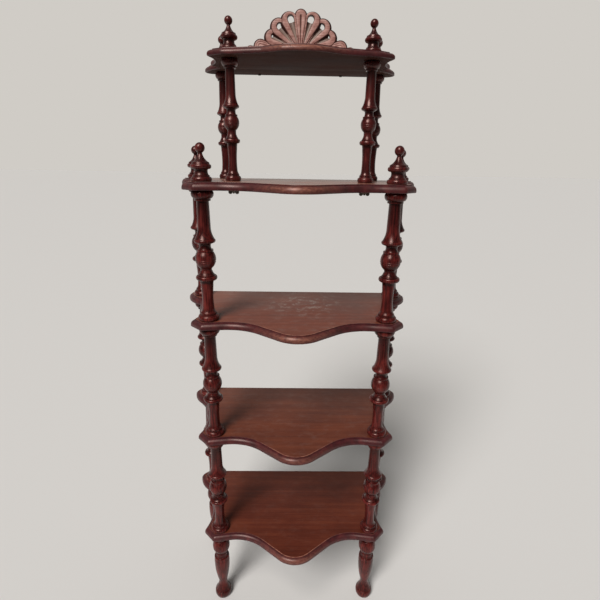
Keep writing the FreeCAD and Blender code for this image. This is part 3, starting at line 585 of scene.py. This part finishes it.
def moulded_board(name, nose, plan, thickness, front, underside, rubbing, finishes):
    """A shelf: its plan carried up the edge moulding, closed by a flat face below and above."""
    shape = bmesh.new()
    wear_and_painted_glint = shape.verts.layers.float.new("wear_and_painted_glint")
    rings = []
    for inset, level, wear in edge_moulding(thickness):
        ring = []
        for x, y in plan_ring(nose, plan, inset):
            vertex = shape.verts.new((x * MM, (y + front) * MM, (underside + level) * MM))
            vertex[wear_and_painted_glint] = min(1, wear * rubbing * max(LEAST_RUBBED, math.exp(-(x / NOSE_RUBBED) ** 2)))
            ring.append(vertex)
        rings.append(ring)
    for lower, upper in zip(rings, rings[1:]):
        for i in range(len(lower)):
            face = shape.faces.new((lower[i - 1], lower[i], upper[i], upper[i - 1]))
            face.smooth, face.material_index = True, 1
    shape.faces.new(rings[-1]).material_index = 0
    shape.faces.new(rings[0][::-1]).material_index = 2
    bmesh.ops.remove_doubles(shape, verts=shape.verts, dist=1e-6)
    return in_scene(name, made_mesh(name, shape, SHARP_EDGE), *finishes)


# The higher a shelf, the paler its stain is painted, for light that falls off towards the floor, and
# the more dust lies on it. The fourth shelf is painted palest, for the sheen of a bright wall seen at
# a grazing angle, over its dust.
TOP_FACES = (
    stained_mahogany("polished_mahogany_painted_dim", "#431a11", "#582619", "#6b3422", 0.46, 0.22, 0.06),
    stained_mahogany("polished_mahogany", "#481d15", "#5d2c1d", "#713b28", 0.4, 0.3, 0.15),
    stained_mahogany("polished_mahogany_painted_bright", "#56291d", "#70392a", "#844a38", 0.36, 0.3, 0.3),
    stained_mahogany("polished_mahogany_dust_and_painted_sheen", "#74483a", "#8e5e4e", "#a27261", 0.2, 1.0, 0.6),
)
EDGE_FINISH = varnished_edge()
RUBBING = (0.6, 0.4, 0.75, 0.8)  # how much hands have worn the nose of each shelf
UNDERSIDE = stained_mahogany("stained_mahogany_underside", "#281511", "#3a211a", "#4a2c22", 0.7, 0.1, 0.05)
for tier, underside in enumerate(SHELF_UNDERSIDES, start=1):
    face = TOP_FACES[min(tier, len(TOP_FACES)) - 1]
    shelf = moulded_board(f"moulded_shelf_{tier}", SHELF_NOSE, SHELF_PLAN, SHELF_THICKNESS, SHELF_FRONT,
                          underside, RUBBING[tier - 1], (face, EDGE_FINISH, UNDERSIDE))
    finished(shelf, "shelf_wood", f"shelf_{tier}")

# ---- Top shelf
# A smaller, thinner mahogany shelf of the same kind, with a flatter nose and the same ears at its
# back corners. It stands on the four upper posts and carries the crest.

TOP_FRONT = -106
TOP_UNDERSIDE = 1640
TOP_NOSE = (44, 5)
TOP_PLAN = [
    [(90, 28)],
    [(136, 39), (158, 44)],
    [(185, 48)],
    [(221, 68)],
    [(214, 88)],
    [(212, 129.5), (230, 171)],
    [(213, 206)],
    [(243, 231), (262, 262)],
    [(256, 276.7), (242, 283)],
]
TOP_THICKNESS = 16

shelf = moulded_board("moulded_top_shelf", TOP_NOSE, TOP_PLAN, TOP_THICKNESS, TOP_FRONT, TOP_UNDERSIDE,
                      1, (TOP_FACES[2], EDGE_FINISH, UNDERSIDE))
finished(shelf, "shelf_wood", "top_shelf")

# ---- Bolts, washers and wing nuts
# A steel hanger bolt runs from each upper post through the fourth shelf, and a washer and a cast
# wing nut draw it tight from below. Plain steel, dulled and browned by handling.

BOLT_SEAT = 1340
BOLT_TAIL = (1328.4, 1390)
BOLT_RADIUS = 3
THREAD_PITCH, THREAD_DEPTH = 1.2, 0.45  # mm
TIP_CHAMFER = (0.8, 0.5)  # mm, across and along
WASHER, WASHER_EASE = (3.25, 8.5, 1.6), 0.35  # radius of the eye and of the rim, thickness
NUT_HEIGHT, NUT_RADII, NUT_EASE = 7, (5, 6.5), 0.8
WING = (5.5, 2.4, 8.5, 1332.4)  # radius, thickness, distance from the axis, height of its middle
WING_EASE = 1.0


def dulled_steel(name, bare, tarnished):
    """Plain steel: dull grey with brown tarnish in spots of about 4 mm."""
    finish, tree, where, shader = new_finish(name)
    fine = add_node(tree, "ShaderNodeMapping", {"Vector": where, "Scale": (250, 250, 250)})
    spots = add_node(tree, "ShaderNodeTexNoise", {"Vector": fine, "Scale": 1.0, "Detail": 4.0})
    colour = ramp(add_node(tree, "ShaderNodeValToRGB", {"Fac": spots}), (0.4, bare), (0.65, tarnished))
    rough = add_node(tree, "ShaderNodeMapRange",
                     {"Value": spots, "From Min": 0.3, "From Max": 0.7, "To Min": 0.35, "To Max": 0.6})
    relief = add_node(tree, "ShaderNodeBump", {"Height": spots, "Strength": 0.15, "Distance": 0.0002})
    feed(tree, shader, {"Base Color": colour, "Metallic": 0.9, "Roughness": rough, "Normal": relief})
    return finish


def fastened():
    """Puts one copy of a fastener at each point of the drilled spots."""
    tree, given = new_group("fasteners", Spots="Geometry", Fastener="Object", Finish="Material")
    one = add_node(tree, "GeometryNodeObjectInfo", {"Object": given["Fastener"]}).outputs["Geometry"]
    placed = add_node(tree, "GeometryNodeInstanceOnPoints", {"Points": given["Spots"], "Instance": one})
    whole = add_node(tree, "GeometryNodeRealizeInstances", {"Geometry": placed})
    done = add_node(tree, "GeometryNodeSetMaterial", {"Geometry": whole, "Material": given["Finish"]})
    add_node(tree, "NodeGroupOutput", {0: done})
    return tree


def fasteners(name, spots, parts, finish):
    """One fastener, joined from its parts about the upright axis, at each spot."""
    shape = bmesh.new()
    for part in parts:
        shape.from_mesh(part.data)
        bpy.data.objects.remove(part)
    one = in_scene("one", made_mesh("one", shape))
    points = bpy.data.meshes.new(name)
    points.from_pydata([(x, y, 0) for x, y in spots], [], [])
    whole = made_plain(name, points, FASTENED, Fastener=one, Finish=finish)
    bpy.data.objects.remove(one)
    return whole


def threaded(low, high):
    """The outline of a threaded end: shallow ridges one pitch apart."""
    across, along = TIP_CHAMFER
    points = [(0, low), (BOLT_RADIUS - across, low)]
    height = low + along
    while height < high:
        points += [(BOLT_RADIUS - THREAD_DEPTH, height), (BOLT_RADIUS, height + THREAD_PITCH / 2)]
        height += THREAD_PITCH
    return points


FASTENED = fastened()
STEEL = dulled_steel("tarnished_steel", "#8b857c", "#5b4636")
BLACKED_STEEL = dulled_steel("blacked_steel", "#3a3633", "#2a1f1a")
upper_spots = [upright_of(f"upper_post_{corner}") for corner in CORNERS]

tail, top = BOLT_TAIL
outline = threaded(tail, BOLT_SEAT) + [(BOLT_RADIUS, BOLT_SEAT + 1), (BOLT_RADIUS, top), (0, top)]
bolt = turned("bolt_blank", outline, STEEL)
bolts = fasteners("threaded_hanger_bolts", upper_spots, [bolt], STEEL)
finished(bolts, "bolt_steel", "hanger_bolts")

eye, rim, thick = WASHER
low = BOLT_SEAT - thick
ring = eased([(eye, low + thick / 2), (eye, low), (rim, low), (rim, low + thick), (eye, low + thick),
              (eye, low + thick / 2)], WASHER_EASE)
washer = turned("washer_blank", ring, STEEL)
rings = fasteners("pressed_washers", upper_spots, [washer], STEEL)
finished(rings, "washer_steel", "washers")

small, large = NUT_RADII
bottom = low - NUT_HEIGHT
hub_outline = eased([(0, bottom), (small, bottom), (large, low), (0, low)], NUT_EASE)
wing_radius, wing_thick, wing_out, wing_height = WING
half = wing_thick / 2
wing_outline = eased([(0, -half), (wing_radius, -half), (wing_radius, half), (0, half)], WING_EASE)
parts = [turned("hub_blank", hub_outline, STEEL)]
for side in (-1, 1):
    wing = turned("wing_blank", wing_outline, STEEL)
    stand = Matrix.Translation((side * wing_out * MM, 0, wing_height * MM))
    wing.data.transform(stand @ Matrix.Rotation(math.pi / 2, 4, "X"))
    parts.append(wing)
nuts = fasteners("cast_wing_nuts", upper_spots, parts, STEEL)
finished(nuts, "nut_steel", "wing_nuts")

# ---- Crest screws
# Two blacked steel screws driven up through the top shelf hold the crest from beneath.

SCREW_X, SCREW_Y = 113, 165.5
SCREW_HEAD, SCREW_RIM = (3.5, 5, 3), 0.6  # radius of the crown and of the rim, height; height of the rim
SCREW_SHANK, SCREW_POINT = (2, 30), 4
SCREW_EASE = 0.7

crown, rim, head = SCREW_HEAD
shank, grip = SCREW_SHANK
screw_outline = [(0, -head), (crown, -head), (rim, -SCREW_RIM), (rim, 0), (shank, 0),
                 (shank, grip - SCREW_POINT), (0, grip)]
screw_outline = eased([(radius, TOP_UNDERSIDE + up) for radius, up in screw_outline], SCREW_EASE)
screw = turned("screw_blank", screw_outline, BLACKED_STEEL)
screws = fasteners("slotted_crest_screws", [(x * MM, SCREW_Y * MM) for x in (-SCREW_X, SCREW_X)],
                   [screw], BLACKED_STEEL)
finished(screws, "screw_steel", "crest_screws")

# ---- Crest
# A fan-shaped crest sawn from one mahogany board, pierced, and carved by hand into overlapping
# petals with gouged flutes. It stands on edge along the back of the top shelf, its polish faded.

CREST_BACK = 170
HINGE_HEIGHT = 1689
# Angle from upright, reach from the hinge, radius of the round end, thickness. A section gives the
# share of the half width, how far the surface drops below the thickness, and how dark it is painted:
# shade in the cuts and undercuts, with some stain gathered there.
MIDDLE_PETAL = (0, 108.5, 17, 16)
MIDDLE_SECTION = [(1, 5.5, 1), (0.86, 2, 1), (0.8, 0.7, 0.6), (0.72, 0.1, 0.05), (0.5, 0, 0),
                  (0.24, 0.3, 0), (0.13, 0.9, 0.2), (0.06, 2.2, 0.85), (0.02, 2.6, 1)]
PETALS = [(21.8, 109, 24.2, 14), (42.8, 111.5, 24, 12.5), (62.6, 109.5, 22.5, 11)]
# The opening in each petal: angle, where it starts and ends, radius of its round end, where it
# stops being pierced and becomes a flute
OPENINGS = [(17.8, 30, 97.5, 8.5, 81), (40, 34, 95.5, 8.5, 84), (59, 50, 91, 7, 87)]
# The loop between a petal's outer edge and its opening: share of the way across, share of the
# thickness, darkness of painted shade
LOOP_SECTION = [(0, 0.55, 1), (0.02, 0.63, 1), (0.2, 0.9, 1), (0.26, 0.97, 0.7), (0.32, 1, 0.1),
                (0.6, 1, 0), (0.88, 0.99, 0), (0.95, 0.95, 0.7), (1, 0.84, 1), (1, 0.4, 1)]
# Painted shade: the loops darker towards the hinge
LOOP_SHADE = (0.3, 200)  # darkness of a loop at the hinge, mm over which a darkness of 1 would fade
LOBES = [(80.5, 130, 19.5, 10), (86, 149, 12, 9.5), (88.5, 163, 10, 9)]
LOBE_SECTION = [(1, 4, 1), (0.88, 1.6, 1), (0.82, 0.6, 0.6), (0.74, 0.1, 0.05), (0.62, 0, 0),
                (0.58, 0.7, 0.5), (0.54, 0, 0), (0.32, 0.2, 0), (0.28, 0.9, 0.5), (0.24, 0.3, 0),
                (0.02, 0.4, 0)]
SECTION_GROWS = 1.2  # how soon a section reaches its full depth as the petal widens
BASE = [(160, -33), (160, -21), (147.4, -12.3), (142, 8)]
# The base board's face painted half dark, as shade
BASE_THICKNESS, BASE_EDGE, BASE_DARK = 9, 0.85, 0.5
# mm: board left under a flute's outer end, least depth below the petal, height of its sides
FLUTE_FLOOR, FLUTE_SINK, FLUTE_SIDE = 5, 1, 4
FLUTE_LET_IN = (1.5, 0.8)  # mm towards the hinge and to the sides, into the loop around it
# The curve of a flute's floor; its painted shade, darkest at the deep outer end, and how near the hinge
# that shade has faded; its share of painted grey, a shaded wall with dust
FLUTE_CURVE, FLUTE_DARK, FLUTE_FADE, FLUTE_DUST_AND_SHADOW = 0.8, 0.6, 0.9, 0.85
# Painted shade on the sawn back
BACK_SHADE = 0.35  # the sawn back, evenly darker than the carved face
# Painted shade of the cuts begins this far in front of the back
SAWN_EDGE = 1  # mm in front of the back, where the dark of the cuts sets in
# mm by which each carved shape lies in front of the one before, so that no two backs fall together
BACKS = (0.04 * layer for layer in range(25))
# The boss over the hinge from its back to its rounded face: radius, height, darkness of painted shade
BOSS = ((14, 0, BACK_SHADE), (14, 13, 0.8), (13, 15, 0.3), (11, 16, 0))
BOSS_FACETS = 36
SHARP_CUT = 50  # degrees


def faded_carved_mahogany():
    """Carved mahogany whose polish has faded to a dry pinkish brown, painted dark down in the cuts for
    shade, and for some stain gathered there.
    """
    finish, tree, where, shader = new_finish("faded_carved_mahogany")
    # Grain runs from side to side, in streaks about 1.5 mm high and 40 mm long
    fibres = add_node(tree, "ShaderNodeMapping", {"Vector": where, "Scale": (25, 300, 650)})
    grain = add_node(tree, "ShaderNodeTexNoise", {"Vector": fibres, "Scale": 1.0, "Detail": 4.0})
    # Faded unevenly, in clouds of about 14 mm
    patches = add_node(tree, "ShaderNodeMapping", {"Vector": where, "Scale": (70, 70, 70)})
    clouds = add_node(tree, "ShaderNodeTexNoise", {"Vector": patches, "Scale": 1.0, "Detail": 5.0})
    both = add_node(tree, "ShaderNodeMix", {"Factor": 0.5, 2: grain, 3: clouds})
    faded = ramp(add_node(tree, "ShaderNodeValToRGB", {"Fac": both}),
                 (0.36, "#8f6059"), (0.5, "#b88a81"), (0.65, "#d5b0a8"))
    # The floors of the flutes are painted grey: painted shadow of a wall seen through an opening, and dust
    # where no cloth reaches
    dust_and_wall_shadow = add_node(tree, "ShaderNodeAttribute", attribute_name="dust").outputs["Fac"]
    with_dust_and_painted_light = add_node(tree, "ShaderNodeMix", {"Factor": dust_and_wall_shadow, 6: faded, 7: srgb("#9a8a7f")},
                     data_type="RGBA")
    # Painted shade down in the cuts and undercuts, with some stain gathered there
    recess = add_node(tree, "ShaderNodeAttribute", attribute_name="recess").outputs["Fac"]
    painted_shade_in_cuts = add_node(tree, "ShaderNodeMix", {"Factor": recess, 6: with_dust_and_painted_light, 7: srgb("#3c1b16")},
                   data_type="RGBA")
    relief = add_node(tree, "ShaderNodeBump", {"Height": both, "Strength": 0.25, "Distance": 0.0006})
    feed(tree, shader, {"Base Color": painted_shade_in_cuts, "Roughness": 0.42, "Normal": relief, "IOR": 1.48,
                        "Specular IOR Level": 0.35})
    return finish


def fanned(angle, points):
    """Points (along, across) of an upright petal, turned about the hinge, as x and height."""
    turn = math.radians(angle)
    return [(along * math.sin(turn) - across * math.cos(turn),
             along * math.cos(turn) + across * math.sin(turn)) for along, across in points]


def drop(angle, start, reach, end_radius):
    """A teardrop pointing at the hinge, walked clockwise seen from the front, as x and height."""
    span = reach - end_radius - start
    spread = math.asin(end_radius / span)
    side = math.sqrt(span * span - end_radius * end_radius)
    straight = [(start + side * math.cos(spread) * i / 10, side * math.sin(spread) * i / 10)
                for i in range(10)]
    bends = [(math.pi / 2 + spread) * (1 - i / 10) for i in range(21)]
    around = [(reach - end_radius + end_radius * math.cos(bend), end_radius * math.sin(bend))
              for bend in bends]
    back = [(along, -across) for along, across in reversed(straight[1:])]
    return fanned(angle, straight + around + back)


def carve(shape, rings, closed=False, dust=0):
    """A closed shell through rings of points (x, height, proud of the back, darkness of painted shade)."""
    rows, back = [], next(BACKS)
    recess, dust_and_wall_shadow = [shape.verts.layers.float[name] for name in ("recess", "dust")]
    for ring in rings:
        row = []
        for x, height, proud, dark in ring:
            place = (x * MM, (CREST_BACK - max(proud, back)) * MM, (HINGE_HEIGHT + height) * MM)
            vertex = shape.verts.new(place)
            vertex[recess], vertex[dust_and_wall_shadow] = dark, dust if proud else 0
            row.append(vertex)
        rows.append(row)
    faces = []
    pairs = list(zip(rows, rows[1:])) + ([(rows[-1], rows[0])] if closed else [])
    for first, second in pairs:
        for i in range(len(first)):
            faces.append(shape.faces.new((first[i - 1], first[i], second[i], second[i - 1])))
    if not closed:
        faces += [shape.faces.new(rows[0]), shape.faces.new(rows[-1])]
    bmesh.ops.recalc_face_normals(shape, faces=faces)
    for face in faces:
        face.smooth = True
    bmesh.ops.remove_doubles(shape, verts=[vertex for row in rows for vertex in row], dist=1e-6)


def pierced_petal(shape, petal, opening):
    """A looped petal: a rounded band between its outer edge and the drop-shaped opening."""
    angle, reach, end_radius, thickness = petal
    outer, inner = drop(angle, 0, reach, end_radius), drop(*opening)
    edge = SAWN_EDGE / thickness
    section = [(0, 0, BACK_SHADE), (0, edge, 1), *LOOP_SECTION, (1, edge, 1), (1, 0, BACK_SHADE)]
    # Painted shade: each loop dark in its cuts, and darker near the hinge
    shade, fade = LOOP_SHADE
    rings = []
    for across, proud, dark in section:
        rings.append([(a[0] + (b[0] - a[0]) * across, a[1] + (b[1] - a[1]) * across, proud * thickness,
                       min(1, dark + max(0, shade - math.hypot(*a) / fade)) if proud else dark)
                      for a, b in zip(outer, inner)])
    carve(shape, rings, closed=True)


def ridged(shape, petal, section):
    """A solid petal: one cross section drawn along its axis."""
    angle, reach, end_radius, thickness = petal
    outline = drop(angle, 0, reach, end_radius)
    turn = math.radians(angle)
    rings = [[(x, height, proud, dark) for x, height in outline]
             for proud, dark in ((0, BACK_SHADE), (SAWN_EDGE, 1))]
    for share, drop_height, dark in section:
        ring = []
        for x, height in outline:
            along = min(x * math.sin(turn) + height * math.cos(turn), reach - end_radius)
            axis = (along * math.sin(turn), along * math.cos(turn))
            narrow = math.dist((x, height), axis) / end_radius
            ring.append((axis[0] + (x - axis[0]) * share, axis[1] + (height - axis[1]) * share,
                         thickness - drop_height * min(1, narrow * SECTION_GROWS), dark))
        rings.append(ring)
    carve(shape, rings)


def flute(shape, petal, opening):
    """The gouged floor of an opening: it rises from the back board to the surface near the hinge."""
    angle, start, reach, end_radius, pierced = opening
    surface = petal[3] - FLUTE_SINK
    start, end_radius = start - FLUTE_LET_IN[0], end_radius + FLUTE_LET_IN[1]
    outline = drop(0, start, reach, end_radius)
    low = []
    for before, here in zip(outline[-1:] + outline, outline):
        if (before[1] > pierced) != (here[1] > pierced):
            edge = before[0] + (here[0] - before[0]) * (pierced - before[1]) / (here[1] - before[1])
            low.append((edge, pierced))
            if here[1] > pierced:
                low += [(edge * (1 - i / 4), pierced) for i in range(1, 8)]
        if here[1] <= pierced:
            low.append(here)
    slope = math.tan(math.asin(end_radius / (reach - end_radius - start)))
    middle = (start + pierced) / 2
    rings = []
    for share in (None, 1, 0.75, 0.5, 0.25, 0.02):
        ring = []
        for across, along in low:
            across, along = across * (share or 1), middle + (along - middle) * (share or 1)
            rise = max(0, 1 - (along - start) / (pierced - start))
            floor = FLUTE_FLOOR + (surface - FLUTE_FLOOR) * rise ** FLUTE_CURVE
            side = min(1, abs(across) / max(0.1, (along - start) * slope))
            depth = floor + side * side * min(FLUTE_SIDE, surface - floor)
            # Painted shade, darkest at the flute's deep outer end
            dark = FLUTE_DARK * max(0, FLUTE_FADE - rise)
            proud = (depth, dark) if share else (0, BACK_SHADE)
            ring.append((*fanned(angle, [(along, -across)])[0], *proud))
        rings.append(ring)
    # The floor painted grey, as a shaded wall seen through, and as dust
    carve(shape, rings, dust=FLUTE_DUST_AND_SHADOW)


shape = bmesh.new()
for name in ("recess", "dust"):
    shape.verts.layers.float.new(name)
outline = [(-x, height) for x, height in BASE] + BASE[::-1]
carve(shape, [[(x, height, proud * BASE_THICKNESS, dark) for x, height in outline]
              for proud, dark in ((0, BACK_SHADE), (BASE_EDGE, BASE_DARK), (1, BASE_DARK))])
for petal in LOBES[::-1]:
    for side in (-1, 1):
        ridged(shape, (petal[0] * side, *petal[1:]), LOBE_SECTION)
for petal, opening in list(zip(PETALS, OPENINGS))[::-1]:
    for side in (-1, 1):
        turned_petal, turned_opening = (petal[0] * side, *petal[1:]), (opening[0] * side, *opening[1:])
        pierced_petal(shape, turned_petal, turned_opening[:4])
        flute(shape, turned_petal, turned_opening)
ridged(shape, MIDDLE_PETAL, MIDDLE_SECTION)
around = [i * math.tau / BOSS_FACETS for i in range(BOSS_FACETS)]
carve(shape, [[(radius * math.sin(a), radius * math.cos(a), proud, dark) for a in around]
              for radius, proud, dark in BOSS])
mesh = made_mesh("carved_shell_crest", shape, SHARP_CUT)
finished(in_scene("carved_shell_crest", mesh, faded_carved_mahogany()), "carved_wood", "shell_crest")

# ---- Floor, light and camera
# A plain pale studio floor, soft daylight from the front, and the camera at standing height.

FLOOR = ((-60, -3), (60, -3), (60, 60), (-60, 60))
FLOOR_ENDS, FLOOR_WHOLE = -2.6, -0.6  # m, between which the floor comes up out of the backdrop in front
BACKDROP = "#d0ccc6"
# How much of its brightness reaches the etagere from the dim room in front and from the wall behind,
# and where, by how far a ray points to the back, the one passes into the other
ROOM_GLOW, WALL_GLOW = 0.12, 0.6
GLOW_TURNS = (-0.2, 0.7)

mesh = bpy.data.meshes.new("studio_floor")
mesh.from_pydata([(x, y, 0) for x, y in FLOOR], [], [(0, 1, 2, 3)])
finish, tree, where, shader = new_finish("pale_studio_floor")
near = add_node(tree, "ShaderNodeSeparateXYZ", {"Vector": where}).outputs["Y"]
thins = add_node(tree, "ShaderNodeMapRange",
                 {"Value": near, "From Min": FLOOR_ENDS, "From Max": FLOOR_WHOLE},
                 interpolation_type="SMOOTHSTEP")
feed(tree, shader, {"Base Color": srgb("#d8d9da"), "Roughness": 0.7, "Alpha": thins})
floor = in_scene("studio_floor", mesh, finish)

world = bpy.data.worlds.new("soft_daylight")
world.use_nodes = True
tree = world.node_tree
toward = add_node(tree, "ShaderNodeTexCoord").outputs["Generated"]
way = add_node(tree, "ShaderNodeSeparateXYZ", {"Vector": toward}).outputs["Y"]
room = add_node(tree, "ShaderNodeMapRange",
                {"Value": way, "From Min": GLOW_TURNS[0], "From Max": GLOW_TURNS[1],
                 "To Min": ROOM_GLOW, "To Max": WALL_GLOW})
seen = add_node(tree, "ShaderNodeLightPath").outputs["Is Camera Ray"]
glow = add_node(tree, "ShaderNodeMapRange", {"Value": seen, "To Min": room})
feed(tree, tree.nodes["Background"], {"Color": srgb(BACKDROP), "Strength": glow})
bpy.context.scene.world = world
bpy.context.scene.view_settings.view_transform = "Standard"


def daylight(name, comes_from, spread, strength, colour):
    """Soft daylight from one direction, the same all over the floor."""
    light = bpy.data.lights.new(name, "SUN")
    light.angle, light.energy = math.radians(spread), strength
    light.color = srgb(colour)[:3]
    in_scene(name, light).rotation_euler = Vector(comes_from).to_track_quat("Z", "Y").to_euler()


daylight("window_light", (-0.36, -0.68, 0.72), 26, 2.9, "#fffaf4")
daylight("ceiling_light", (-0.22, -0.4, 0.9), 12, 0.5, "#fff6ec")

CAMERA_PLACE = (-0.0130, -1.1460, 1.4054)
CAMERA_TURN, CAMERA_TILT, CAMERA_ROLL = 0.0174, 0.3134, -0.0161
PIXELS, FOCAL_PIXELS, SENSOR = 600, 421.24, 36

ahead = Vector((math.sin(CAMERA_TURN) * math.cos(CAMERA_TILT),
                math.cos(CAMERA_TURN) * math.cos(CAMERA_TILT), -math.sin(CAMERA_TILT)))
level = Vector((math.cos(CAMERA_TURN), -math.sin(CAMERA_TURN), 0))
down = ahead.cross(level)
across = level * math.cos(CAMERA_ROLL) + down * math.sin(CAMERA_ROLL)
below = down * math.cos(CAMERA_ROLL) - level * math.sin(CAMERA_ROLL)
lens = bpy.data.cameras.new("camera")
lens.sensor_width = SENSOR
lens.lens = FOCAL_PIXELS / PIXELS * SENSOR
camera = in_scene("camera", lens)
pose = Matrix((across, -below, -ahead)).transposed().to_4x4()
pose.translation = CAMERA_PLACE
camera.matrix_world = pose
bpy.context.scene.camera = camera
